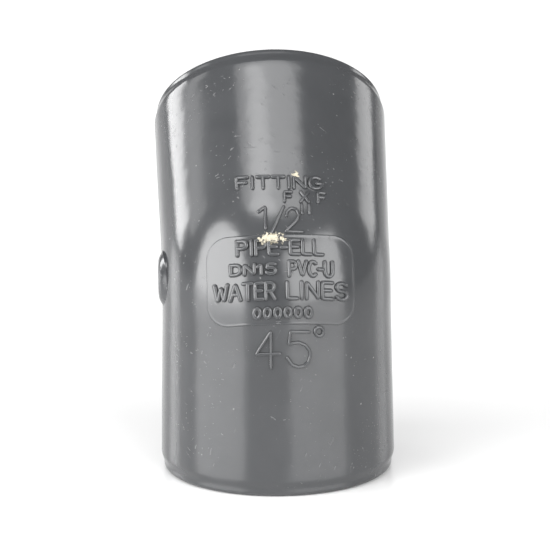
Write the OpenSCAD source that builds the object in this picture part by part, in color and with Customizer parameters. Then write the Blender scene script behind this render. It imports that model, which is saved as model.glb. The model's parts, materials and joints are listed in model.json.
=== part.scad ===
// Threaded PVC pipe elbow, 45 degrees, nominal half-inch, heavy wall.
// It stands on its lower mouth: the origin is the centre of that mouth's face, +Z runs up the
// lower hub, and the upper hub leans towards +Y. The bend's outside (the heel) faces -Y.
// The real elbow is one moulding. The solids here are its distinct features, all on one body.

/* [Elbow] */
// Turn between the two hubs, in degrees
bend_angle = 45; // [40:1:50]
// Outside diameter of each hub near its mouth
hub_d = 32.5; // [32:0.1:36]
// Outside diameter where a hub meets the bend, smaller by the mould's draft
waist_d = 31.7; // [31:0.1:32]
// From the centre of the bend to each mouth's face
centre_to_end = 27.3; // [27:0.1:34]
// Radius of the bend's centre line
bend_r = 8.2; // [8.1:0.1:9]
// Bore of the waterway between the two threads
waterway_d = 15.8; // [14:0.1:16]

/* [Mouths] */
// Outside diameter of the short lip at each mouth
lip_d = 31.8; // [31:0.1:32]
// Length of the straight part of that lip
lip_l = 1.1; // [0.8:0.1:2]
// Length of the shoulder between lip and hub
shoulder_l = 1.3; // [1:0.1:2]
// Chamfer on the lip's outer edge
edge_c = 0.4; // [0.2:0.1:0.6]
// Diameter of the lead-in chamfer at the mouth's face
lead_in_d = 22.7; // [22:0.1:24]

/* [Pipe thread] */
// Threads per inch
threads_per_inch = 14; // [14:1:18]
// Diameter of the thread's crests
crest_d = 18.26; // [18:0.01:18.6]
// Diameter of the thread's roots at the mouth's face
root_d = 21.22; // [21:0.01:21.3]
// Taper of the roots, as diameter over length
taper = 0.0625; // [0.05:0.0005:0.0625]
// Depth of the threaded socket
socket_l = 17.5; // [17:0.1:18]
// Diameter of the socket's wall behind the thread
socket_d = 21.5; // [21.4:0.1:22]

/* [Marking plate] */
// Width of the raised plate on the heel
plate_w = 20.2; // [16:0.1:21]
// Height of the plate along the heel
plate_h = 12.2; // [10:0.1:12.5]
// Corner radius of the plate
plate_r = 3; // [2:0.1:4]
// How far the plate's centre lies below the centre of the bend, along the heel
plate_drop = 2.55; // [2.4:0.05:3]
// How far the plate stands proud
plate_t = 0.2; // [0.15:0.05:0.4]

/* [Marks] */
// Stroke width of the raised size and angle marks
stroke_w = 0.5; // [0.4:0.05:0.7]
// How far the marks stand proud
mark_t = 0.25; // [0.15:0.05:0.4]

/* [Gate] */
// Outside diameter of the round boss where the moulding was filled
gate_d = 7.8; // [7:0.1:11]
// Diameter of the recess in the boss
gate_recess_d = 4.4; // [3.6:0.1:6]
// How far the boss stands past the waist
gate_proud = 0.55; // [0.45:0.05:2]
// How far the recess goes in below the waist
gate_recess = 0.9; // [0.5:0.1:1.5]
// How far the boss lies below the centre of the bend
gate_drop = 0.2; // [0:0.1:3]

/* [Hidden] */
$fn = 96;
past = 1;                                             // how far a cutting tool runs past what it cuts
pitch = 25.4 / threads_per_inch;
hub_r = hub_d / 2;
waist_r = waist_d / 2;
lip_r = lip_d / 2;
crest_r = crest_d / 2;
socket_r = socket_d / 2;
tangent_l = bend_r * tan(bend_angle / 2);             // from the centre of the bend to the end of a hub
hub_l = centre_to_end - tangent_l;                    // from a mouth's face to the bend
shoulder_z = lip_l + shoulder_l;
hub_step = 0.04;                                      // how far a hub's end stands out from the bend
bend_lap = 1.3;                                         // how far the bend runs into each hub, in degrees
lead_in_l = lead_in_d / 2 - socket_r;                 // the lead-in is at 45 degrees
thread_z = lead_in_d / 2 - crest_r;                   // where the lead-in ends and the crests begin
root_flat = 0.07;                                     // flat at the bottom of each groove
groove_n = floor((socket_l - thread_z) / pitch);      // whole grooves that fit in the socket
side_x = -waist_r;                                    // the side of the waist that holds the gate
gate_floor_x = side_x + gate_recess;
skin_start = waist_r * 0.62;                          // raised layers are cut from here outwards
pvc = [0.34, 0.35, 0.37];
pvc_plate = [0.37, 0.38, 0.40];
pvc_mark = [0.46, 0.47, 0.49];

// Puts its children at the upper mouth, with +Z running into the hub.
module at_upper_mouth() {
    translate([0, 0, centre_to_end])
        rotate([-bend_angle, 0, 0])
            translate([0, 0, centre_to_end])
                rotate([180, 0, 0])
                    children();
}

// Puts its children on the heel: +Z out of the heel, +Y up along it, origin at the bend's centre.
module on_heel() {
    translate([0, 0, centre_to_end])
        rotate([90 - bend_angle / 2, 0, 0])
            children();
}

// Sweeps its 2D child round the bend, starting and ending lap degrees inside the hubs.
// In the outline, X is the distance from the bend's axis.
module round_bend(lap = 0) {
    translate([0, bend_r, hub_l])
        rotate([90, 0, -90])
            rotate(-lap)
                rotate_extrude(angle = bend_angle + 2 * lap)
                    children();
}

// One hub's outside, mouth at Z = 0, made bigger all round by grow. It runs on into the bend.
module hub_outside(grow = 0, run_on = 0) {
    cylinder(h = edge_c, r1 = lip_r - edge_c + grow, r2 = lip_r + grow);
    translate([0, 0, edge_c])
        cylinder(h = lip_l - edge_c, r = lip_r + grow);
    translate([0, 0, lip_l])
        cylinder(h = shoulder_l, r1 = lip_r + grow, r2 = hub_r + grow);
    translate([0, 0, shoulder_z])
        cylinder(h = hub_l + run_on - shoulder_z, r1 = hub_r + grow, r2 = waist_r + hub_step + grow);
}

// The bend's outside. On the inside of the bend the hubs meet in a crease, as the pipe is wider
// than the bend's radius, so only the part of the section outside the bend's axis is swept.
module bend_outside(grow = 0) {
    round_bend(bend_lap)
        intersection() {
            translate([bend_r, 0])
                circle(r = waist_r + grow);
            translate([0, -2 * waist_r])
                square([3 * waist_r, 4 * waist_r]);
        }
}

module outside(grow = 0) {
    union() {
        hub_outside(grow, run_on = 0.5);
        at_upper_mouth() hub_outside(grow);
        bend_outside(grow);
    }
}

// Everything that is open inside one hub: lead-in, threaded socket and waterway.
module hub_inside(run_on) {
    translate([0, 0, -past])
        cylinder(h = socket_l + past, r = socket_r);
    translate([0, 0, -past])
        cylinder(h = lead_in_l + past, r1 = lead_in_d / 2 + past, r2 = socket_r);
    translate([0, 0, socket_l - past])
        cylinder(h = hub_l + run_on - socket_l + past, r = waterway_d / 2 - hub_step);
}

// A round tool on the gate's axis, from x to out past the side of the elbow.
module gate_tool(d, x, out) {
    translate([x, 0, centre_to_end - gate_drop])
        rotate([0, -90, 0])
            cylinder(h = out, d = d);
}

module elbow_body() {
    color(pvc)
        difference() {
            outside();
            hub_inside(run_on = 0.3);
            at_upper_mouth() hub_inside(run_on = 0.2);
            round_bend()
                translate([bend_r, 0])
                    circle(d = waterway_d);
            gate_tool(gate_recess_d, gate_floor_x, gate_d);
        }
}

// Radius of the thread's roots at a depth z from the mouth's face.
function root_at(z) = root_d / 2 - z * taper / 2;

// The four corners of one V groove, going inwards from its mouth side, at a depth z.
function groove(z) =
    let (half = root_flat / 2 + (root_at(z) - crest_r) * tan(30))
        [[crest_r, z - half], [root_at(z), z - root_flat / 2],
         [root_at(z), z + root_flat / 2], [crest_r, z + half]];

// The threaded lining of one socket, mouth at Z = 0. The grooves follow the thread's pitch, angle
// and taper as rings round the axis.
module thread() {
    grooves = [for (k = [0:groove_n - 1]) each groove(thread_z + (k + 0.5) * pitch)];
    color(pvc)
        rotate_extrude()
            polygon(concat([[socket_r, lead_in_l], [crest_r, thread_z]], grooves,
                           [[crest_r, socket_l], [socket_r, socket_l]]));
}

module lower_thread() {
    thread();
}

module upper_thread() {
    at_upper_mouth() thread();
}

// The outside, or the bend's alone, which is simpler and holds whatever lies between the hubs.
module wall(grow, bend_only) {
    if (bend_only)
        bend_outside(grow);
    else
        outside(grow);
}

// Lays its 2D child on the heel as a raised layer of thickness t.
module raised_on_heel(t, bend_only = false) {
    difference() {
        intersection() {
            on_heel()
                translate([0, 0, skin_start])
                    linear_extrude(height = waist_r)
                        children();
            wall(t, bend_only);
        }
        wall(0, bend_only);
    }
}

module rounded_outline(w, h, r) {
    square([w - 2 * r, h], center = true);
    square([w, h - 2 * r], center = true);
    for (x = [-1, 1], y = [-1, 1])
        translate([x * (w / 2 - r), y * (h / 2 - r)])
            circle(r = r);
}

module marking_plate() {
    color(pvc_plate)
        raised_on_heel(plate_t)
            translate([0, -plate_drop])
                rounded_outline(plate_w, plate_h, plate_r);
}

module gate_boss() {
    color(pvc)
        difference() {
            gate_tool(gate_d, side_x + gate_d / 4, gate_d / 4 + gate_proud);
            outside();
            gate_tool(gate_recess_d, gate_floor_x, gate_d);
        }
}

// The snapped-off end of the gate, on the floor of the recess.
module gate_stub() {
    color(pvc)
        translate([gate_floor_x, 0, centre_to_end - gate_drop])
            rotate([0, -90, 0])
                cylinder(h = gate_recess + gate_proud / 3, d1 = gate_recess_d * 0.42, d2 = gate_recess_d * 0.3);
}

// A unit vector along v, and the direction a quarter turn to its left.
function unit(v) = v / norm(v);
function left_of(v) = [-v.y, v.x];

// Points along part of a circle, from angle a0 to a1.
function arc(centre, r, a0, a1, steps = 8) =
    [for (k = [0:steps]) let (a = a0 + (a1 - a0) * k / steps) centre + r * [cos(a), sin(a)]];

// How a path's point i moves sideways for one unit of offset, so corners come out mitred.
function mitre(path, i) =
    let (last = len(path) - 1,
         before = unit(i > 0 ? path[i] - path[i - 1] : path[1] - path[0]),
         after = unit(i < last ? path[i + 1] - path[i] : path[last] - path[last - 1]),
         side = left_of(unit(before + after)))
        side / (side * left_of(before));

// A pen stroke along a path.
module pen(path) {
    last = len(path) - 1;
    polygon(concat([for (i = [0:last]) path[i] + mitre(path, i) * stroke_w / 2],
                   [for (i = [last:-1:0]) path[i] - mitre(path, i) * stroke_w / 2]));
}

// Nominal size, half-inch, just above the plate.
size_y = 3.9;                                         // where its figures stand on the heel
size_h = 3.4;                                         // their height
module size_mark() {
    bowl_r = 0.85;
    color(pvc_mark)
        raised_on_heel(mark_t, bend_only = true)
            translate([0, size_y]) {
                pen([[-2.9, size_h - 0.7], [-2.1, size_h], [-2.1, 0.3]]);
                pen([[-1.3, 0], [0.5, size_h + 0.2]]);
                pen(concat(arc([1.65, size_h - bowl_r], bowl_r, 175, -35), [[0.6, 0.1], [2.9, 0.1]]));
                for (x = [3, 4])
                    pen([[x, size_h + 0.5], [x, size_h - 0.8]]);
            }
}

// Angle of the bend, just below the plate.
angle_y = -14.2;                                      // where its figures stand on the heel
angle_h = 4.7;                                        // their height
module angle_mark() {
    bowl_r = 1.55;
    color(pvc_mark)
        raised_on_heel(mark_t)
            translate([0, angle_y]) {
                pen([[-1.6, 0], [-1.6, angle_h]]);
                pen([[-1.6, angle_h], [-3.6, 1.85], [-0.4, 1.85]]);
                pen(concat([[3.5, angle_h - 0.1], [1.1, angle_h - 0.1], [0.9, 2.8]],
                           arc([2.2, bowl_r], bowl_r, 125, -165, 10)));
                translate([5, angle_h])
                    difference() {
                        circle(d = 1.6);
                        circle(d = 0.8);
                    }
            }
}

elbow_body();
lower_thread();
upper_thread();
marking_plate();
gate_boss();
gate_stub();
size_mark();
angle_mark();
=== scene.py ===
# %% [markdown]
# # A 45-degree threaded pipe elbow in grey PVC
# The real fitting is one injection moulding, so it has a single body and no moving parts. The CAD
# model gives every place and size, in metres, and each step below replaces one of its nodes with
# a shape that has the true detail: rounded edges, real threads and lettering that follows the bend.

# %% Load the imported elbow
import json
from math import acos, asin, atan2, ceil, cos, hypot, pi, radians, sin, sqrt, tan

import bpy
from mathutils import Matrix, Vector


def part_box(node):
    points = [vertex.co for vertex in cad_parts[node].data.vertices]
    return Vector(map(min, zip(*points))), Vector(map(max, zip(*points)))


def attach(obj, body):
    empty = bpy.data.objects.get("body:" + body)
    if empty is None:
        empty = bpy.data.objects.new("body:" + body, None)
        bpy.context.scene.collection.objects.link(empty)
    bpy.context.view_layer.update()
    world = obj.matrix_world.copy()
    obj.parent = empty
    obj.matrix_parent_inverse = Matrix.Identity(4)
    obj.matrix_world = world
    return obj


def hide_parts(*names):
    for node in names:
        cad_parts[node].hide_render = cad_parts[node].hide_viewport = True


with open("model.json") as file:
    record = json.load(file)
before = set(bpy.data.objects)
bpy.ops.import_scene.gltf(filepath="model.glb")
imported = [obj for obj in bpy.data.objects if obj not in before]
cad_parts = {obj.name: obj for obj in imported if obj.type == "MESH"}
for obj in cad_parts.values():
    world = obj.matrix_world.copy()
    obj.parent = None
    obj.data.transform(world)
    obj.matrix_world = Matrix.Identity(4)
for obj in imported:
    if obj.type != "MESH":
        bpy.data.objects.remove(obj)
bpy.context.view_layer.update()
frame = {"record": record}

scene = bpy.context.scene
mm = 0.001

# %% [markdown]
# The record's mounts say where the two mouths are and which way they look. Half the angle between
# them is the mitre, and the two pipe axes cross at the middle of the fitting, one REACH from each
# mouth. The nodes' boxes give the widths.

# %% Read the elbow's own numbers
mounts = {mount["name"]: mount for mount in frame["record"]["mounts"]}
TURN = acos(mounts["upper_face"]["axis"][2])
HALF = TURN / 2
REACH = mounts["upper_face"]["pos_m"][2] / (1 + cos(TURN))
MIDDLE = Vector((0, 0, REACH))
HUB_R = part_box("elbow_body")[1][0]
CREST_R = mounts["lower_port"]["dims"]["r_mm"] * mm
thread_low, thread_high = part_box("lower_thread")
SOCKET_R = thread_high[0]
print(f"turn {TURN:.4f} reach {REACH:.5f} hub {HUB_R:.5f} crest {CREST_R:.5f} socket {SOCKET_R:.5f}")

# %% [markdown]
# ## Camera
# The elbow is seen from its heel, the outside of the bend, a little from above and from far away
# through a long lens, so upright edges stay almost parallel. The camera comes first because every
# later choice is judged through it.

# %% Camera on the heel
LOOK_AZ, LOOK_EL, LOOK_ROLL = radians(-2.72), radians(14.74), radians(-0.40)
LOOK_FAR, LOOK_LEFT, LOOK_UP = 0.680, 0.232 * mm, 0.008 * mm
LENS_MM, SENSOR_MM = 320.9, 36
back = Vector((sin(LOOK_AZ) * cos(LOOK_EL), -cos(LOOK_AZ) * cos(LOOK_EL), sin(LOOK_EL)))
side = Vector((0, 0, 1)).cross(back).normalized()
rise = back.cross(side)
right = side * cos(LOOK_ROLL) + rise * sin(LOOK_ROLL)
up = rise * cos(LOOK_ROLL) - side * sin(LOOK_ROLL)
aim = MIDDLE - right * LOOK_LEFT + up * LOOK_UP
lens = bpy.data.cameras.new("long_lens")
lens.lens, lens.sensor_width = LENS_MM, SENSOR_MM
camera = bpy.data.objects.new("camera", lens)
scene.collection.objects.link(camera)
turned = Matrix((right, up, back)).transposed().to_4x4()
camera.matrix_world = Matrix.Translation(aim + back * LOOK_FAR) @ turned
scene.camera = camera
scene.view_settings.view_transform = "Standard"
print("camera at", tuple(round(v, 4) for v in camera.location))

# %% [markdown]
# ## Helpers for modelling by hand
# Blender's operators act on all that is selected, and the loaded nodes still are, so each step
# starts by letting go of everything. A drawn ring tube is the start of most pieces here: one
# circle, extruded and resized ring by ring like a pot on a wheel. Its rings stay in order, so a
# later step can find any ring or any lengthwise column by its number.

# %% Let go, draw a ring tube, finish a mesh
def let_go():
    if bpy.context.mode != "OBJECT":
        bpy.ops.object.mode_set(mode="OBJECT")
    bpy.ops.object.select_all(action="DESELECT")


def name_it(name):
    piece = bpy.context.object
    piece.name = piece.data.name = name
    return piece


def pick(piece, numbers):
    bpy.ops.object.mode_set(mode="OBJECT")
    for part in (piece.data.vertices, piece.data.edges, piece.data.polygons):
        part.foreach_set("select", [False] * len(part))
    for number in numbers:
        piece.data.vertices[number].select = True
    bpy.ops.object.mode_set(mode="EDIT")


def ring_tube(name, columns, rings, ends):
    """rings are (radius, height); ends is "bridge" to join the last ring to the first, or "poles"."""
    let_go()
    bpy.ops.mesh.primitive_circle_add(vertices=columns, radius=rings[0][0], location=(0, 0, rings[0][1]))
    piece = name_it(name)
    bpy.ops.object.transform_apply(location=True, rotation=True, scale=True)
    bpy.ops.object.mode_set(mode="EDIT")
    bpy.ops.mesh.select_mode(type="VERT")
    bpy.ops.mesh.select_all(action="SELECT")
    for (r0, z0), (r1, z1) in zip(rings, rings[1:]):
        bpy.ops.mesh.extrude_region_move(TRANSFORM_OT_translate={"value": (0, 0, z1 - z0)})
        bpy.ops.transform.resize(value=(r1 / r0, r1 / r0, 1), center_override=(0, 0, z1))
    count = columns * len(rings)
    if ends == "bridge":
        pick(piece, [*range(columns), *range(count - columns, count)])
        bpy.ops.mesh.bridge_edge_loops()
    bpy.ops.object.mode_set(mode="OBJECT")
    return piece


def close_poles(piece, columns):
    count = len(piece.data.vertices)
    pick(piece, range(count - columns, count))
    bpy.ops.mesh.merge(type="CENTER")
    pick(piece, range(columns))
    bpy.ops.mesh.merge(type="CENTER")
    bpy.ops.object.mode_set(mode="OBJECT")


def tidy_mesh(piece, merge=0.0, smooth=35):
    let_go()
    bpy.context.view_layer.objects.active = piece
    piece.select_set(True)
    bpy.ops.object.mode_set(mode="EDIT")
    bpy.ops.mesh.select_all(action="SELECT")
    if merge:
        bpy.ops.mesh.remove_doubles(threshold=merge)
    bpy.ops.mesh.normals_make_consistent(inside=False)
    bpy.ops.object.mode_set(mode="OBJECT")
    bpy.ops.object.shade_smooth_by_angle(angle=radians(smooth))
    edges = {}
    for face in piece.data.polygons:
        for key in face.edge_keys:
            edges[key] = edges.get(key, 0) + 1
    loose = sum(1 for n in edges.values() if n != 2)
    print(f"{piece.name}: {len(piece.data.polygons)} faces, {loose} open edges")


# %% [markdown]
# ## The moulded shell
# The body is two straight hubs joined by a bend that is rounder on the heel than its own pipe is
# wide. A Simple Deform or Curve modifier would fold the inside of so tight a bend over itself, and
# the Bend tool needs a window. So the tube is drawn straight, with its lips, rounded shoulders,
# sockets and waterway, and then each lengthwise column is laid along its own path: straight, an
# arc, straight. The arc's radius is the bend's own plus how far the column is out towards the
# heel, and it never gets smaller than a little fillet, which makes the crease at the back.

# %% The bend's sizes
WAIST_R = HUB_R - 0.40 * mm
BEND_R = 8.2 * mm
CREASE_R = 3.0 * mm
BORE_CREASE_R = 0.9 * mm
SHOULDER = 2.4 * mm
SOCKET_L = thread_high[2]
WATERWAY_R = 7.9 * mm
LEAD_IN_R = 11.35 * mm
STRAIGHT = REACH - BEND_R * tan(HALF)
ARC = 12 * mm
WHOLE = 2 * STRAIGHT + ARC
CREASE_EASE = 0.8 * mm
print(f"straight hub {STRAIGHT:.5f}, waist {WAIST_R:.5f}")


# %% How far one column bends
def arc_radius(k, smallest):
    """The arc radius of a column that is k out towards the heel, eased into the smallest one."""
    plain = BEND_R + k
    if plain >= 4 * smallest:
        return plain
    return (plain + smallest + sqrt((plain - smallest) ** 2 + CREASE_EASE ** 2)) / 2


def draft(share):
    """How much of the hub's draft is left, from 1 at the shoulder to a smooth 0 at the bend."""
    soft = 0.15
    share = max(0.0, share)
    return (share * share / (2 * soft) if share < soft else share - soft / 2) / (1 - soft / 2)


def lay(radius, around, along, fixed, smallest, drafted):
    """The place of a point of the straight tube once the tube is bent.

    fixed is the depth from a mouth that keeps its length, and the rest of the hub takes up the mitre.
    """
    upper = along > WHOLE / 2
    near = min(along, WHOLE - along)
    k = radius * cos(around)
    rho = arc_radius(k, smallest)
    tangent = REACH + k * tan(HALF) - rho * tan(HALF)
    if near <= STRAIGHT:
        z = near if near <= fixed else fixed + (near - fixed) * (tangent - fixed) / (STRAIGHT - fixed)
        if drafted:
            radius = WAIST_R + (HUB_R - WAIST_R) * draft((tangent - z) / (tangent - SHOULDER))
        x, out = radius * sin(around), radius * cos(around)
        if not upper:
            return Vector((x, -out, z))
        a, b = z - REACH, -out
        return Vector((x, cos(TURN) * b - sin(TURN) * a, REACH - sin(TURN) * b - cos(TURN) * a))
    theta = (along - STRAIGHT) / ARC * TURN
    return Vector((radius * sin(around), rho * (1 - cos(theta)) - k, tangent + rho * sin(theta)))


# %% The tube's profile, drawn as half rings from mouth to middle
def rounded_corner(r0, z0, r1, z1, turns=6):
    angles = [pi / 2 * i / turns for i in range(turns + 1)]
    return [(r0 + (r1 - r0) * sin(a), z0 + (z1 - z0) * (1 - cos(a))) for a in angles]


LIP_R, LIP_L, EDGE = 15.9 * mm, 0.9 * mm, 0.69 * mm
LEAD_IN_L, SEAT_L = 0.6 * mm, 0.4 * mm
outer = [(LIP_R - EDGE - 0.9 * mm, 0.0)] + rounded_corner(LIP_R - EDGE, 0.0, LIP_R, EDGE)
for i in range(9):
    t = i / 8
    ease = t * t * (3 - 2 * t)
    outer.append((LIP_R + (HUB_R - LIP_R) * ease, LIP_L + (SHOULDER - LIP_L) * t))
outer += [(HUB_R - 0.001 * mm, SHOULDER + (STRAIGHT - SHOULDER) * i / 22) for i in range(1, 23)]
bend_rings = [(WAIST_R, STRAIGHT + ARC * i / 32) for i in range(1, 32)]
outer_all = outer + bend_rings + [(r, WHOLE - z) for r, z in reversed(outer)]
inner = [(LEAD_IN_R + 1.2 * mm, 0.0), (LEAD_IN_R + 0.15 * mm, 0.0), (LEAD_IN_R, 0.08 * mm)]
inner += [(SOCKET_R, LEAD_IN_L + (SOCKET_L - LEAD_IN_L) * i / 8) for i in range(9)]
inner += [(SOCKET_R - 1.2 * mm, SOCKET_L), (WATERWAY_R + SEAT_L, SOCKET_L)]
inner += [(WATERWAY_R + 0.3 * SEAT_L, SOCKET_L + 0.3 * SEAT_L), (WATERWAY_R, SOCKET_L + SEAT_L)]
inner += [(WATERWAY_R, SOCKET_L + SEAT_L + (STRAIGHT - SOCKET_L - SEAT_L) * i / 6) for i in range(1, 7)]
inner_bend = [(WATERWAY_R, STRAIGHT + ARC * i / 16) for i in range(1, 16)]
inner_all = inner + inner_bend + [(r, WHOLE - z) for r, z in reversed(inner)]
rings = outer_all + inner_all[::-1]
print(len(outer_all), "outer rings,", len(inner_all), "inner rings")

# %% Draw it straight, then lay every column along its bend
COLUMNS = 192
shell = ring_tube("elbow_shell", COLUMNS, rings, "bridge")
SEAM = 0.045 * mm
for vertex in shell.data.vertices:
    number = vertex.index // COLUMNS
    radius, along = rings[number]
    around = atan2(vertex.co.x, -vertex.co.y)
    outside = number < len(outer_all)
    drafted = outside and SHOULDER - 1e-6 <= min(along, WHOLE - along) and radius > LIP_R
    fixed, smallest = (SHOULDER, CREASE_R) if outside else (SOCKET_L + SEAT_L, BORE_CREASE_R)
    spot = lay(radius, around, along, fixed, smallest, drafted)
    if drafted and abs(abs(around) - pi / 2) < pi / COLUMNS:
        out = SEAM * min(1, (HUB_R - abs(spot.x)) / (4 * SEAM))
        spot.x += out if around > 0 else -out
    vertex.co = spot
tidy_mesh(shell)

# %% [markdown]
# The sprue left through a gate on one side, so there is a round pocket in the wall, and a raised
# ring will stand around it. A Boolean modifier with a plain cutter makes the pocket. Its ragged
# cut faces lie under the ring, where they can't be seen.

# %% Cut the gate pocket
boss_low, boss_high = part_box("gate_boss")
GATE_Z = (boss_low[2] + boss_high[2]) / 2
BOSS_R = (boss_high[2] - boss_low[2]) / 2
BOSS_TOP = boss_low[0]
POCKET_R = BOSS_R - 1.7 * mm
POCKET_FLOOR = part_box("gate_stub")[1][0]
let_go()
CUTTER_L = 4 * mm
bpy.ops.mesh.primitive_cylinder_add(
    vertices=72, radius=POCKET_R + 0.15 * mm, depth=CUTTER_L,
    location=(POCKET_FLOOR - CUTTER_L / 2, 0, GATE_Z), rotation=(0, pi / 2, 0))
cutter = name_it("pocket_cutter")
let_go()
bpy.context.view_layer.objects.active = shell
shell.select_set(True)
cut = shell.modifiers.new("gate pocket", "BOOLEAN")
cut.operation, cut.object, cut.solver = "DIFFERENCE", cutter, "EXACT"
bpy.ops.object.modifier_apply(modifier=cut.name)
bpy.data.objects.remove(cutter)
tidy_mesh(shell, smooth=30)

# %% [markdown]
# ## The gate's ring and the snapped stub
# The ring is a low swelling of the wall round the pocket, highest near the pocket's rim and dying
# away into the side. It is a circle extruded and resized round its own section and closed with a
# bridge, drawn lying flat and turned so that it looks out of the side wall.

# %% Gate ring
CROWN = -BOSS_TOP
RIM = 0.16 * mm
BURIED, SUNK = 14.2 * mm, 0.05 * mm
collar = [(BOSS_R + 0.02 * mm, BURIED), (BOSS_R, WAIST_R - 0.5 * mm)]
for i in range(15):
    t = i / 14
    r = BOSS_R + (POCKET_R + RIM - BOSS_R) * t
    collar.append((r, WAIST_R - SUNK + (CROWN - WAIST_R + SUNK) * sin(pi / 2 * t) ** 1.2))
for i in range(1, 5):
    a = pi / 2 * i / 4
    collar.append((POCKET_R + RIM * (1 - sin(a)), CROWN - RIM * (1 - cos(a))))
collar += [(POCKET_R, CROWN - 0.5 * mm), (POCKET_R, BURIED + 0.75 * mm), (POCKET_R + 0.02 * mm, BURIED)]
gate_ring = ring_tube("gate_ring", 120, collar, "bridge")
for vertex in gate_ring.data.vertices:
    x, y, z = vertex.co
    skirt = sqrt(WAIST_R ** 2 - min(abs(y), BOSS_R) ** 2) - WAIST_R
    share = min(1.0, max(0.0, (hypot(x, y) - POCKET_R) / (BOSS_R - POCKET_R)))
    vertex.co = (-z - skirt * share, y, GATE_Z + x)
tidy_mesh(gate_ring)

# %% [markdown]
# The stub is where the runner broke off: a short peg with a torn top. It is a cylinder whose top is
# inset again and again, and the new points are then pushed about by a fixed wave, so the tear is the
# same at every run.

# %% Snapped gate stub
stub_low, stub_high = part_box("gate_stub")
STUB_R = (stub_high[2] - stub_low[2]) / 2
STUB_L = POCKET_FLOOR + 0.6 * mm - stub_low[0]
TEAR = 0.28 * mm
let_go()
bpy.ops.mesh.primitive_cylinder_add(
    vertices=40, radius=STUB_R, depth=STUB_L,
    location=(stub_low[0] + STUB_L / 2, 0, GATE_Z), rotation=(0, -pi / 2, 0))
gate_peg = name_it("gate_stub_torn")
bpy.ops.object.transform_apply(location=True, rotation=True, scale=True)
outermost = min(v.co.x for v in gate_peg.data.vertices)
pick(gate_peg, [v.index for v in gate_peg.data.vertices if v.co.x < outermost + 1e-6])
for _ in range(6):
    bpy.ops.mesh.inset(thickness=STUB_R / 7.5)
bpy.ops.object.mode_set(mode="OBJECT")
for vertex in gate_peg.data.vertices:
    x, y, z = vertex.co
    if x < outermost + 1e-6:
        y, z = y / mm, (z - GATE_Z) / mm
        far = hypot(y, z) * mm / STUB_R
        wave = 0.5 + 0.22 * sin(3.1 * y + 1.7 * z) + 0.18 * sin(5.3 * z - 2.2 * y + 1)
        wave += 0.1 * sin(9.0 * y * z)
        vertex.co.x = x - (TEAR * wave * (1.15 - far * far) if far < 0.97 else 0)
tidy_mesh(gate_peg, smooth=50)

# %% [markdown]
# ## The pipe threads
# The CAD has rings, because its checks look for true cylinders. Here is the true helix. One pitch of
# the thread's line, root, flank, crest, flank, is wound by a Screw modifier, tapered 1 in 16 at the
# roots, and cut flat at both ends with bisect. The open rims are drawn out into the socket's wall
# and bridged behind, which closes the sleeve. The first turn leads in from the mouth, and the last
# ones fade out, as the core's do. The upper thread is a copy with its own mesh.

# %% Wind the lower thread
PITCH = 25.4 / 14 * mm
TAPER = 1 / 32
ROOT_R = 10.61 * mm
THREAD_Z0, THREAD_Z1 = thread_low[2] + 0.02 * mm, thread_high[2] - 0.02 * mm
TURNS = ceil((THREAD_Z1 - THREAD_Z0) / PITCH) + 2
STEPS = 96
LEAD_L, FADE_L, FADE_TOP, UNDER_SKIN = 1.1 * mm, 2.4 * mm, 1.2 * mm, 0.75 * mm
let_go()
bpy.ops.mesh.primitive_plane_add(size=1, location=(0, 0, 0))
sleeve = name_it("lower_thread_helix")
bpy.ops.object.mode_set(mode="EDIT")
bpy.ops.mesh.select_all(action="SELECT")
bpy.ops.mesh.delete(type="VERT")
bpy.ops.object.mode_set(mode="OBJECT")
line = [(1.0, 0.0), (1.0, 0.07), (0.93, 0.105), (0.07, 0.415), (0.0, 0.46)]
line += [(deep, 1 - share) for deep, share in reversed(line)]
sleeve.data.from_pydata([(0, 0, 0)] * len(line), [(i, i + 1) for i in range(len(line) - 1)], [])
for vertex, (deep, share) in zip(sleeve.data.vertices, line):
    vertex.co = (CREST_R + (ROOT_R - CREST_R) * deep, 0, THREAD_Z0 - PITCH * (1.5 - share))
wind = sleeve.modifiers.new("wind", "SCREW")
wind.axis, wind.screw_offset, wind.iterations = "Z", PITCH, TURNS
wind.steps = wind.render_steps = STEPS
wind.use_merge_vertices, wind.merge_threshold, wind.use_smooth_shade = False, 1e-7, True
let_go()
bpy.context.view_layer.objects.active = sleeve
sleeve.select_set(True)
bpy.ops.object.modifier_apply(modifier=wind.name)
bpy.ops.object.mode_set(mode="EDIT")
bpy.ops.mesh.select_all(action="SELECT")
bpy.ops.mesh.remove_doubles(threshold=0.002 * mm)
bpy.ops.object.mode_set(mode="OBJECT")
for vertex in sleeve.data.vertices:
    r = hypot(vertex.co.x, vertex.co.y)
    deep = (r - CREST_R) / (ROOT_R - CREST_R)
    z = vertex.co.z
    root = ROOT_R - (z - THREAD_Z0) * TAPER
    new = CREST_R + (root - CREST_R) * deep
    lead = max(0.0, 1 - max(0.0, z - THREAD_Z0) / LEAD_L)
    new = max(new, CREST_R + (ROOT_R - CREST_R) * lead * 1.02)
    fade = min(1.0, max(0.0, (THREAD_Z1 - FADE_TOP - z) / FADE_L))
    new = root - UNDER_SKIN + (new - root + UNDER_SKIN) * fade
    vertex.co.x *= new / r
    vertex.co.y *= new / r
print(len(sleeve.data.vertices), "points in the wound thread,", TURNS, "turns")

# %% Cut its ends flat and close it behind
BACK_R = SOCKET_R + 0.25 * mm
for height, facing in ((THREAD_Z0, 1), (THREAD_Z1, -1)):
    pick(sleeve, range(len(sleeve.data.vertices)))
    bpy.ops.mesh.select_all(action="SELECT")
    bpy.ops.mesh.bisect(plane_co=(0, 0, height), plane_no=(0, 0, facing), clear_inner=True, threshold=1e-7)
    bpy.ops.object.mode_set(mode="OBJECT")


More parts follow.
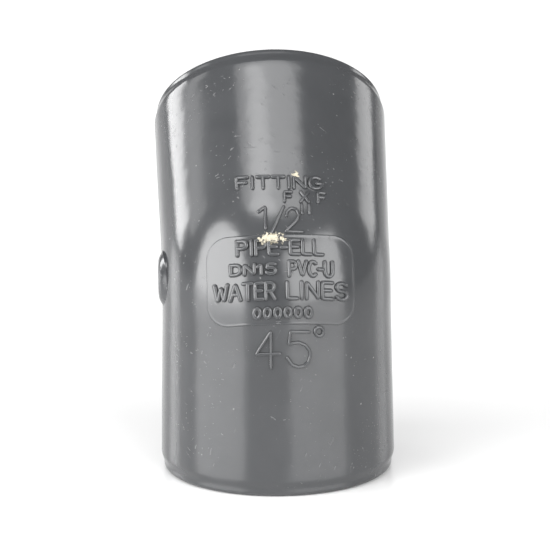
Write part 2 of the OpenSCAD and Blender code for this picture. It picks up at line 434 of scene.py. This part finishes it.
def rim_points(piece, height):
    uses = {}
    for face in piece.data.polygons:
        for key in face.edge_keys:
            uses[key] = uses.get(key, 0) + 1
    rim = {n for key, used in uses.items() if used == 1 for n in key}
    return [n for n in rim if abs(piece.data.vertices[n].co.z - height) < 0.01 * mm]


for height in (THREAD_Z0, THREAD_Z1):
    before = len(sleeve.data.vertices)
    pick(sleeve, rim_points(sleeve, height))
    bpy.ops.mesh.extrude_region_move(TRANSFORM_OT_translate={"value": (0, 0, 0)})
    bpy.ops.object.mode_set(mode="OBJECT")
    for vertex in sleeve.data.vertices:
        if vertex.index >= before:
            r = hypot(vertex.co.x, vertex.co.y)
            vertex.co = (vertex.co.x * BACK_R / r, vertex.co.y * BACK_R / r, height)
pick(sleeve, [n for h in (THREAD_Z0, THREAD_Z1) for n in rim_points(sleeve, h)])
bpy.ops.mesh.bridge_edge_loops()
tidy_mesh(sleeve, merge=0.001 * mm, smooth=40)

# %% Copy it to the upper socket
let_go()
sleeve.select_set(True)
bpy.context.view_layer.objects.active = sleeve
bpy.ops.object.duplicate(linked=False)
upper_sleeve = name_it("upper_thread_helix")
flip = Matrix.Translation(MIDDLE) @ Matrix.Rotation(pi - TURN, 4, "X") @ Matrix.Translation(-MIDDLE)
upper_sleeve.data.transform(flip)
print("upper thread from", [round(v / mm, 2) for v in (Vector(upper_sleeve.bound_box[0]))])

# %% [markdown]
# ## The heel's own coordinates
# The plate and every mark lie on the heel, so they are drawn flat, across and up, and then wrapped:
# this function gives the point on the heel at a distance across and a distance up from the
# middle, lifted off the skin by any height. It is the same torus and hub that the shell is made of.

# %% From flat to heel
heel_out = Vector((0, -cos(HALF), sin(HALF)))
heel_up = Vector((0, sin(HALF), cos(HALF)))


def on_heel(across, height, lift=0.0):
    k = sqrt(WAIST_R ** 2 - across ** 2)
    rho = BEND_R + k
    edge = rho * sin(HALF)
    lean = asin(max(-edge, min(edge, height)) / rho)
    out = rho * cos(lean) - BEND_R / cos(HALF)
    beyond = abs(height) - edge
    if beyond > 0:
        run = beyond / cos(HALF)
        grown = WAIST_R + (HUB_R - WAIST_R) * draft(run / (STRAIGHT - SHOULDER))
        out += -beyond * tan(HALF) + (sqrt(grown ** 2 - across ** 2) - k) / cos(HALF)
    normal = Vector((across / WAIST_R, 0, 0)) + (heel_out * cos(lean) + heel_up * sin(lean)) * (k / WAIST_R)
    return MIDDLE + Vector((across, 0, 0)) + heel_up * height + heel_out * out + normal * lift


print("heel point", [round(v / mm, 3) for v in on_heel(0, 0)])

# %% [markdown]
# ## The marking plate
# A steel insert in the mould leaves a raised plate with round corners and a fine raised rim. It is
# drawn as rings from its buried edge, over the rim and in to the middle, and each ring is then
# given the plate's rounded outline and wrapped on the heel.

# %% Raised plate
PLATE_X, PLATE_HIGH, PLATE_LOW, PLATE_CORNER = 10.1 * mm, 3.55 * mm, -8.65 * mm, 3.0 * mm
PLATE_T, PLATE_DEEP = 0.045 * mm, 0.3 * mm
PLATE_MID, PLATE_HALF = (PLATE_HIGH + PLATE_LOW) / 2, (PLATE_HIGH - PLATE_LOW) / 2
ROUND = 200


def rounded_outline(half_x, half_y, corner, number):
    """The point at number of ROUND on a round-cornered rectangle, evenly spaced along it."""
    flat_x, flat_y, arc = half_x - corner, half_y - corner, pi / 2 * corner
    run = (number / ROUND) * (4 * flat_x + 4 * flat_y + 4 * arc)
    sides = (
        (half_x, -flat_y, 0, 1, flat_y, flat_x, flat_y),
        (flat_x, half_y, -1, 0, flat_x, -flat_x, flat_y),
        (-half_x, flat_y, 0, -1, flat_y, -flat_x, -flat_y),
        (-flat_x, -half_y, 1, 0, flat_x, flat_x, -flat_y))
    for turn, (start_x, start_y, dx, dy, flat, centre_x, centre_y) in enumerate(sides):
        if run <= 2 * flat:
            return start_x + dx * run, start_y + dy * run
        run -= 2 * flat
        if run <= arc:
            a = turn * pi / 2 + run / corner
            return centre_x + corner * cos(a), centre_y + corner * sin(a)
        run -= arc
    return half_x, -flat_y


rim = [(0.0, -0.01), (0.03, 0.03), (0.06, 0.065), (0.11, 0.08), (0.18, 0.078)]
rim += [(0.27, 0.062), (0.37, 0.050), (0.46, PLATE_T / mm)]
RIM_WIDE = rim[-1][0] * mm
PIN_HOLE, ACROSS = 0.004, 26
under = [(PIN_HOLE, 0.0, -PLATE_DEEP)] + [(i / 8, 0.0, -PLATE_DEEP) for i in range(1, 9)]
over = [(1 - i / ACROSS, RIM_WIDE, PLATE_T) for i in range(1, ACROSS)] + [(PIN_HOLE, RIM_WIDE, PLATE_T)]
plate_rings = under + [(1.0, inward * mm, lift * mm) for inward, lift in rim] + over
stack = [(PIN_HOLE + share, i * mm) for i, (share, _, _) in enumerate(plate_rings)]
plate = ring_tube("marking_plate_raised", ROUND, stack, "poles")
for vertex in plate.data.vertices:
    share, inward, lift = plate_rings[vertex.index // ROUND]
    x, y = rounded_outline(PLATE_X - inward, PLATE_HALF - inward, PLATE_CORNER - inward, vertex.index % ROUND)
    vertex.co = on_heel(x * share, PLATE_MID + y * share, lift)
close_poles(plate, ROUND)
tidy_mesh(plate, smooth=60)

# %% [markdown]
# ## Raised figures and words
# The marks were cut in the mould with a small round-nosed tool, so each is a line of one width
# with round ends and a round back. Each stroke is a poly curve with a round bevel whose radius
# runs out at both ends. A line of marks is made a mesh, flattened to its own height and wrapped on
# the heel. The letters are a plain alphabet of strokes in a box one high, each with its width.

# %% A plain stroke alphabet
def bow(cx, cy, rx, ry, start, end, steps=10):
    """An arc of an ellipse, from the angle start to the angle end, in degrees."""
    angles = [radians(start + (end - start) * i / steps) for i in range(steps + 1)]
    return [(cx + rx * cos(a), cy + ry * sin(a)) for a in angles]


LETTERS = {
    "A": (0.68, [[(0, 0), (0.34, 1), (0.68, 0)], [(0.13, 0.36), (0.55, 0.36)]]),
    "C": (0.62, [bow(0.34, 0.5, 0.34, 0.5, 50, 310, 18)]),
    "D": (0.62, [[(0, 0), (0, 1)], [(0, 1)] + bow(0.26, 0.5, 0.36, 0.5, 90, -90, 14) + [(0, 0)]]),
    "E": (0.54, [[(0.54, 1), (0, 1), (0, 0), (0.54, 0)], [(0, 0.52), (0.46, 0.52)]]),
    "F": (0.54, [[(0.54, 1), (0, 1), (0, 0)], [(0, 0.52), (0.46, 0.52)]]),
    "G": (0.66, [bow(0.34, 0.5, 0.34, 0.5, 50, 340, 18) + [(0.66, 0.45), (0.4, 0.45)]]),
    "I": (0.12, [[(0.06, 0), (0.06, 1)]]),
    "L": (0.5, [[(0, 1), (0, 0), (0.5, 0)]]),
    "N": (0.62, [[(0, 0), (0, 1), (0.62, 0), (0.62, 1)]]),
    "P": (0.58, [[(0, 0), (0, 1)], [(0, 1)] + bow(0.3, 0.73, 0.28, 0.27, 90, -90) + [(0, 0.46)]]),
    "R": (0.6, [
        [(0, 0), (0, 1)],
        [(0, 1)] + bow(0.3, 0.74, 0.28, 0.26, 90, -90) + [(0, 0.48)],
        [(0.28, 0.48), (0.6, 0)]]),
    "T": (0.6, [[(0, 1), (0.6, 1)], [(0.3, 1), (0.3, 0)]]),
    "V": (0.66, [[(0, 1), (0.33, 0), (0.66, 1)]]),
    "W": (0.86, [[(0, 1), (0.22, 0), (0.43, 0.86), (0.64, 0), (0.86, 1)]]),
    "X": (0.6, [[(0, 0), (0.6, 1)], [(0, 1), (0.6, 0)]]),
    "S": (0.6, [
        bow(0.31, 0.74, 0.27, 0.26, 35, 270, 12)[:-1]
        + bow(0.31, 0.26, 0.29, 0.26, 90, -150, 12)]),
    "U": (0.62, [[(0, 1)] + bow(0.31, 0.31, 0.31, 0.31, 180, 360, 12) + [(0.62, 1)]]),
    "-": (0.34, [[(0.0, 0.48), (0.34, 0.48)]]),
    "1": (0.34, [[(0, 0.72), (0.22, 1), (0.22, 0)]]),
    "5": (0.58, [[(0.54, 1), (0.08, 1), (0.03, 0.55)] + bow(0.27, 0.32, 0.3, 0.32, 110, -150, 14)]),
    "o": (0.5, [bow(0.25, 0.3, 0.22, 0.26, 90, 450, 18)]),
    " ": (0.34, []),
}
print(len(LETTERS), "letters")


# %% Lay out a word, and turn strokes into a wrapped mesh
def word(text, left, right_edge, low, high, slope=0.0):
    """Strokes of a word that fills its box, in millimetres, with its right end dropped by the slope."""
    gap = 0.2
    wide = sum(LETTERS[letter][0] for letter in text) + gap * (len(text) - 1)
    scale_x = (right_edge - left) / wide
    strokes, pen = [], 0.0
    for letter in text:
        width, lines = LETTERS[letter]
        for points in lines:
            across = [left + (pen + x) * scale_x for x, _ in points]
            upward = [low + (high - low) * y for _, y in points]
            strokes.append([(x, y + slope * x) for x, y in zip(across, upward)])
        pen += width + gap
    return strokes


LONGEST, SHARP, BACK_POWER, KEEL = 0.35, 0.6, 0.8, 0.6
ROUND_END = [(0.998, 0.06), (0.87, 0.5), (0.5, 0.87)]


def soften(points, reach):
    """The same stroke in millimetres with its corners eased, fine enough to follow the heel."""
    eased = [points[0]]
    for before, here, after in zip(points, points[1:], points[2:]):
        a, b = Vector(before) - Vector(here), Vector(after) - Vector(here)
        turn = abs(a.angle(b) - pi) if a.length and b.length else 0
        if turn < SHARP:
            eased.append(here)
            continue
        p = Vector(here) + a.normalized() * min(reach, a.length / 2.2)
        q = Vector(here) + b.normalized() * min(reach, b.length / 2.2)
        for t in (0, 0.25, 0.5, 0.75, 1):
            eased.append(tuple(p * (1 - t) ** 2 + Vector(here) * 2 * t * (1 - t) + q * t * t))
    eased.append(points[-1])
    fine = [eased[0]]
    for (ax, ay), (bx, by) in zip(eased, eased[1:]):
        parts = max(1, ceil(hypot(bx - ax, by - ay) / LONGEST))
        fine += [(ax + (bx - ax) * i / parts, ay + (by - ay) * i / parts) for i in range(1, parts + 1)]
    return fine


def raised_marks(name, strokes, width, rise, base=0.0):
    """One mesh of all strokes, in millimetres: width wide and rise proud of a base above the skin."""
    curve = bpy.data.curves.new(name, "CURVE")
    curve.dimensions, curve.bevel_depth, curve.bevel_resolution = "3D", width / 2, 2
    for points in strokes:
        closed = hypot(points[0][0] - points[-1][0], points[0][1] - points[-1][1]) < 1e-6
        fine = soften(points, width * 0.45)
        if closed:
            fine = fine[:-1]
            radii = [1.0] * len(fine)
        else:
            first = (Vector(fine[0]) - Vector(fine[1])).normalized() * width / 2
            last = (Vector(fine[-1]) - Vector(fine[-2])).normalized() * width / 2
            start = [tuple(Vector(fine[0]) + first * f) for f, _ in ROUND_END]
            end = [tuple(Vector(fine[-1]) + last * f) for f, _ in reversed(ROUND_END)]
            end_radii = [r for _, r in ROUND_END]
            radii = end_radii + [1.0] * len(fine) + end_radii[::-1]
            fine = start + fine + end
        spline = curve.splines.new("POLY")
        spline.points.add(len(fine) - 1)
        spline.use_cyclic_u = closed
        for point, (x, y), radius in zip(spline.points, fine, radii):
            point.co, point.radius = (x, y, 0, 1), radius
    piece = bpy.data.objects.new(name, curve)
    scene.collection.objects.link(piece)
    let_go()
    bpy.context.view_layer.objects.active = piece
    piece.select_set(True)
    bpy.ops.object.convert(target="MESH")
    bpy.ops.object.mode_set(mode="EDIT")
    bpy.ops.mesh.select_all(action="DESELECT")
    bpy.ops.mesh.select_non_manifold()
    bpy.ops.mesh.fill_holes(sides=0)
    bpy.ops.object.mode_set(mode="OBJECT")
    for vertex in piece.data.vertices:
        x, y, z = vertex.co
        z = rise * (2 * z / width) ** BACK_POWER if z > 0 else z * KEEL
        vertex.co = on_heel(x * mm, y * mm, (base + z) * mm)
    tidy_mesh(piece, smooth=75)
    return piece


# %% The size above the plate and the angle below it, in millimetres across and up
size_strokes = [
    [(-2.9, 6.83), (-1.97, 7.5), (-2.02, 4.4)],
    [(0.52, 7.43), (-1.26, 3.78)],
    [(0.84, 6.14), (0.98, 6.75), (1.3, 7.1), (1.67, 7.23), (2.1, 7.08), (2.42, 6.7)]
    + [(2.5, 6.14), (2.3, 5.6), (1.6, 4.85), (0.62, 3.93), (2.95, 3.86)],
    [(3.02, 7.72), (3.02, 6.5)], [(4.0, 7.72), (4.0, 6.5)],
]
angle_strokes = [
    [(-1.6, -14.23), (-1.6, -9.5), (-3.62, -12.42), (-0.39, -12.42)],
    [(3.56, -9.59), (1.05, -9.57), (0.82, -11.26), (1.35, -11.08), (2.2, -10.98), (3.1, -11.35)]
    + [(3.62, -12.0), (3.76, -12.63), (3.5, -13.5), (2.9, -14.05), (2.11, -14.2)]
    + [(1.2, -13.85), (0.59, -12.95)],
    bow(5.0, -9.52, 0.58, 0.58, 0, 360, 24),
]
size_figures = raised_marks("size_figures", size_strokes, width=0.48, rise=0.30)
angle_figures = raised_marks("angle_figures", angle_strokes, width=0.48, rise=0.34)

# %% Generic words where the maker's own lines would be
fitting_line = word("FITTING", -5.64, 5.9, 10.25, 11.85, -0.02)
top_word = raised_marks("word_fitting", fitting_line, width=0.56, rise=0.34)
ends_line = word("F X F", 0.7, 6.2, 8.25, 9.6, -0.02)
end_word = raised_marks("word_f_x_f", ends_line, width=0.50, rise=0.36)
plate_lines = (
    word("PIPE-ELL", -5.9, 5.6, 0.78, 2.70, -0.01)
    + word("DN15", -6.8, -0.8, -1.85, -0.55, -0.01)
    + word("PVC-U", 1.0, 6.9, -2.15, -0.22, -0.01)
    + word("WATER", -9.0, -1.0, -5.2, -3.05)
    + word("LINES", 0.7, 8.9, -5.2, -3.05)
    + word("oooooo", -3.9, 4.0, -7.75, -5.4))
plate_words = raised_marks("plate_words", plate_lines, width=0.60, rise=0.40, base=PLATE_T / mm)

# %% [markdown]
# ## Shader helpers
# A wire is a socket that can be added to, multiplied and so on like a number, so a mask can be
# written as a formula. Colours are mixed with Mix nodes, and everything else comes from one method.

# %% Wires and finishes
class Wire:
    def __init__(self, finish, socket):
        self.finish, self.socket = finish, socket

    def maths(self, operation, a, b):
        return self.finish.add("ShaderNodeMath", {"operation": operation}, {0: a, 1: b})

    def __add__(self, other):
        return self.maths("ADD", self, other)

    def __radd__(self, other):
        return self.maths("ADD", other, self)

    def __sub__(self, other):
        return self.maths("SUBTRACT", self, other)

    def __rsub__(self, other):
        return self.maths("SUBTRACT", other, self)

    def __mul__(self, other):
        return self.maths("MULTIPLY", self, other)

    def __rmul__(self, other):
        return self.maths("MULTIPLY", other, self)


class Finish:
    def __init__(self, name):
        self.material = bpy.data.materials.new(name)
        self.material.use_nodes = True
        self.tree = self.material.node_tree
        self.tree.nodes.clear()
        self.place = self.add("ShaderNodeTexCoord", out="Object")

    def add(self, kind, settings=None, values=None, out=0):
        node = self.tree.nodes.new(kind)
        for key, value in (settings or {}).items():
            setattr(node, key, value)
        for key, value in (values or {}).items():
            if isinstance(value, Wire):
                self.tree.links.new(value.socket, node.inputs[key])
            else:
                node.inputs[key].default_value = value
        return Wire(self, node.outputs[out])

    def noise(self, scale, detail=2.0, rough=0.5, place=None):
        values = {"Vector": place or self.place, "Scale": scale, "Detail": detail, "Roughness": rough}
        return self.add("ShaderNodeTexNoise", {}, values, "Fac")

    def step(self, value, low, high):
        """0 where value is below low, 1 where it is above high, and a smooth rise between."""
        values = {"Value": value, "From Min": low, "From Max": high, "To Min": 0.0, "To Max": 1.0}
        return self.add("ShaderNodeMapRange", {"interpolation_type": "SMOOTHSTEP"}, values)

    def mix(self, factor, a, b):
        node = self.tree.nodes.new("ShaderNodeMix")
        node.data_type = "RGBA"
        for number, value in ((0, factor), (6, a), (7, b)):
            if isinstance(value, Wire):
                self.tree.links.new(value.socket, node.inputs[number])
            elif number:
                node.inputs[number].default_value = (*value, 1)
            else:
                node.inputs[number].default_value = value
        return Wire(self, node.outputs[2])

    def moved(self, place=(0, 0, 0), turn=(0, 0, 0), stretch=(1, 1, 1)):
        scale = tuple(1 / v for v in stretch)
        values = {"Vector": self.place, "Location": place, "Rotation": turn, "Scale": scale}
        return self.add("ShaderNodeMapping", {"vector_type": "TEXTURE"}, values)

    def distance(self, point, stretch):
        apart = self.add("ShaderNodeVectorMath", {"operation": "SUBTRACT"}, {0: self.place, 1: tuple(point)})
        scaled = self.add("ShaderNodeVectorMath", {"operation": "MULTIPLY"}, {0: apart, 1: stretch})
        return self.add("ShaderNodeVectorMath", {"operation": "LENGTH"}, {0: scaled}, "Value")

    def bump(self, height, strength, distance, under=None):
        values = {"Height": height, "Strength": strength, "Distance": distance}
        if under:
            values["Normal"] = under
        return self.add("ShaderNodeBump", {}, values, "Normal")

    def plastic(self, **sockets):
        values = {key.replace("_", " "): value for key, value in sockets.items()}
        shader = self.add("ShaderNodeBsdfPrincipled", {}, values)
        output = self.tree.nodes.new("ShaderNodeOutputMaterial")
        self.tree.links.new(shader.socket, output.inputs["Surface"])


print("shader helpers ready")

# %% [markdown]
# ## Grey PVC
# Heavy-wall PVC is moulded dark grey and glossy. Its skin is not quite flat: it has a fine orange
# peel, long slow sink marks, hairline scratches from the bin it was shipped in, and pale dust. A
# flake of cream deburring waste is stuck above the plate, and a crumb of it higher up. All of it is
# made from noise in the object's own metres, and only colour, roughness and the bump vary.

# %% The moulded skin
GREY = (0.0400, 0.0415, 0.0440)


def toned(factor):
    return tuple(factor * channel for channel in GREY)


skin = Finish("grey_pvc_moulded")
cloud = skin.noise(140, 3)
colour = skin.mix(skin.step(cloud, 0.3, 0.7), toned(0.94), toned(1.07))
patch = skin.step(skin.noise(90, 2), 0.42, 0.66)
cells = {"Vector": skin.place, "Scale": 620.0, "Randomness": 1.0}
speck_size = skin.add("ShaderNodeTexVoronoi", {"feature": "F1"}, cells, "Distance")
speck_shape = speck_size + (skin.noise(5200, 1) - 0.5) * 0.16
specks = (1 - skin.step(speck_shape, 0.03, 0.10)) * skin.step(skin.noise(310, 0), 0.60, 0.68)
dust = skin.step(skin.noise(4200, 3, 0.7), 0.66, 0.76) * patch


def hairline_set(turn, thin, long, low):
    """Fine scratches in one direction: noise that is squeezed across them and stretched along them."""
    drawn = skin.moved(place=(turn, 3 * turn, 0), turn=(0.3 * turn, turn, 0.2), stretch=(thin, thin, long))
    return skin.step(skin.noise(1, 2, 0.5, drawn), low, low + 0.035)


hairlines = hairline_set(0.45, 2300, 300, 0.70)
for turn, thin, long in ((-0.9, 2600, 330), (1.5, 2500, 260), (2.3, 2100, 420)):
    hairlines = hairlines + hairline_set(turn, thin, long, 0.71)
hairlines = hairlines * skin.step(skin.noise(130, 1), 0.47, 0.60)
colour = skin.mix(specks * 0.45, colour, (0.26, 0.26, 0.25))
colour = skin.mix(dust * 0.2, colour, (0.30, 0.30, 0.29))
colour = skin.mix(hairlines * 0.12, colour, (0.30, 0.30, 0.30))
flake_far = skin.distance(on_heel(-1.4 * mm, 3.0 * mm), (1 / (1.9 * mm), 1 / (0.8 * mm), 1 / (0.8 * mm)))
flake = 1 - skin.step(flake_far + (skin.noise(1900, 4, 0.75) - 0.5) * 3.4, 0.80, 0.95)
crumb_far = skin.distance(on_heel(2.4 * mm, 12.1 * mm), (1 / (0.55 * mm),) * 3)
crumb = 1 - skin.step(crumb_far + (skin.noise(2600, 2, 0.7) - 0.5) * 2.4, 0.7, 0.9)
waste = flake + crumb - flake * crumb
colour = skin.mix(waste, colour, skin.mix(skin.noise(3300, 2), (0.20, 0.17, 0.11), (0.62, 0.58, 0.47)))
roughness = 0.15 + cloud * 0.05 + dust * 0.25 + specks * 0.2 + hairlines * 0.18 + waste * 0.5
peel = skin.bump(skin.noise(420, 2, 0.45), 0.5, 0.00006)
slow = skin.bump(skin.noise(75, 1), 0.5, 0.00022, peel)
marks = skin.bump(hairlines * -0.5 + specks * 0.6 + waste * 3.0, 0.7, 0.00006, slow)
skin.plastic(Base_Color=colour, Roughness=roughness, Normal=marks, IOR=1.54)
print("skin has", len(skin.tree.nodes), "nodes")

# %% [markdown]
# The threads come off a polished steel core, which unscrews while the plastic is hot, so they are
# a little duller and carry fine drag lines round the pipe.

# %% The thread's satin skin
satin = Finish("grey_pvc_thread")
drag = satin.noise(1, 3, 0.6, satin.moved(stretch=(250, 250, 5200)))
tone = satin.mix(satin.step(satin.noise(200, 2), 0.3, 0.7), toned(0.88), toned(1.02))
lines = satin.bump(drag, 0.35, 0.00004)
satin.plastic(Base_Color=tone, Roughness=0.27 + drag * 0.10, Normal=lines, IOR=1.54)
print("satin has", len(satin.tree.nodes), "nodes")

# %% Give every piece its finish, its body and its node
for piece, finish, slot, nodes in (
    (shell, skin, "pvc_moulding", ["elbow_body"]),
    (sleeve, satin, "pvc_thread", ["lower_thread"]),
    (upper_sleeve, satin, "pvc_thread", ["upper_thread"]),
    (plate, skin, "pvc_moulding", ["marking_plate"]),
    (gate_ring, skin, "pvc_moulding", ["gate_boss"]),
    (gate_peg, skin, "pvc_moulding", ["gate_stub"]),
    (size_figures, skin, "pvc_moulding", ["size_mark"]),
    (angle_figures, skin, "pvc_moulding", ["angle_mark"]),
    (top_word, skin, "pvc_moulding", []),
    (end_word, skin, "pvc_moulding", []),
    (plate_words, skin, "pvc_moulding", []),
):
    piece.data.materials.clear()
    piece.data.materials.append(finish.material)
    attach(piece, "root")
    if nodes:
        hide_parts(*nodes)
print("all pieces ride on root")

# %% [markdown]
# ## Floor and studio light
# Glossy dark plastic shows mostly what it reflects, so the lights are modelled as the softboxes
# they would be: one big one low on each side, a small one beyond the left one, two overhead, two
# strips behind for the rims, and a pale backdrop. Each is an area light on a sphere round the elbow,
# given by its direction, its angular size and how bright it looks. The floor is glossy enough to
# mirror them into the lower hub, and the lamps stay out of the camera's own rays.

# %% White floor
let_go()
bpy.ops.mesh.primitive_circle_add(vertices=96, radius=3.2, fill_type="NGON", location=(0, 0, 0))
floor = name_it("studio_floor")
bpy.ops.object.mode_set(mode="EDIT")
bpy.ops.mesh.select_all(action="SELECT")
bpy.ops.mesh.inset(thickness=2.2)
bpy.ops.object.mode_set(mode="OBJECT")
white = Finish("studio_white")
shade = white.mix(white.noise(3, 1), (0.76, 0.76, 0.76), (0.78, 0.78, 0.78))
white.plastic(
    Base_Color=shade, Roughness=0.26, IOR=1.9,
    Emission_Color=(1, 1, 1, 1), Emission_Strength=0.04)
floor.data.materials.append(white.material)
print("floor ready")


# %% Softboxes by direction, spread and brightness
def softbox(name, azimuth, elevation, wide, tall, bright, shape="RECTANGLE", far=1.5):
    """azimuth 0 is the heel's side and + is to its right; all angles are in degrees."""
    az, el = radians(azimuth), radians(elevation)
    toward = Vector((sin(az) * cos(el), -cos(az) * cos(el), sin(el)))
    lamp = bpy.data.lights.new(name, "AREA")
    lamp.shape = shape
    lamp.size, lamp.size_y = 2 * far * tan(radians(wide) / 2), 2 * far * tan(radians(tall) / 2)
    lamp.energy = bright * pi * lamp.size * lamp.size_y
    box = bpy.data.objects.new(name, lamp)
    scene.collection.objects.link(box)
    turned = toward.to_track_quat("Z", "Y").to_matrix().to_4x4()
    box.matrix_world = Matrix.Translation(MIDDLE + toward * far) @ turned
    box.visible_camera = False


softbox("left_softbox", -63, 6, 57, 72, 7.4, "ELLIPSE")
softbox("left_far_side", -109, 27, 10, 26, 2.4)
softbox("right_softbox", 39, 20, 57, 38, 6.3)
softbox("overhead_softbox", 2, 72, 52, 21, 3.6, "ELLIPSE")
softbox("overhead_left", -40, 67, 36, 18, 2.4, "ELLIPSE")
softbox("back_left_strip", -127, 12, 17, 19, 7.8)
softbox("back_right_strip", 124, 12, 18, 16, 3.2)
softbox("white_backdrop", 180, 12, 50, 22, 0.8)
print("eight softboxes")

# %% A dim room around them
room = bpy.data.worlds.new("room")
scene.world = room
room.use_nodes = True
room.node_tree.nodes.clear()
glow = room.node_tree.nodes.new("ShaderNodeBackground")
seen = room.node_tree.nodes.new("ShaderNodeLightPath")
level = room.node_tree.nodes.new("ShaderNodeMapRange")
level.inputs["To Min"].default_value = 0.22
level.inputs["To Max"].default_value = 1.1
output = room.node_tree.nodes.new("ShaderNodeOutputWorld")
glow.inputs["Color"].default_value = (1, 1, 1, 1)
room.node_tree.links.new(seen.outputs["Is Camera Ray"], level.inputs["Value"])
room.node_tree.links.new(level.outputs["Result"], glow.inputs["Strength"])
room.node_tree.links.new(glow.outputs["Background"], output.inputs["Surface"])
print("room ready")
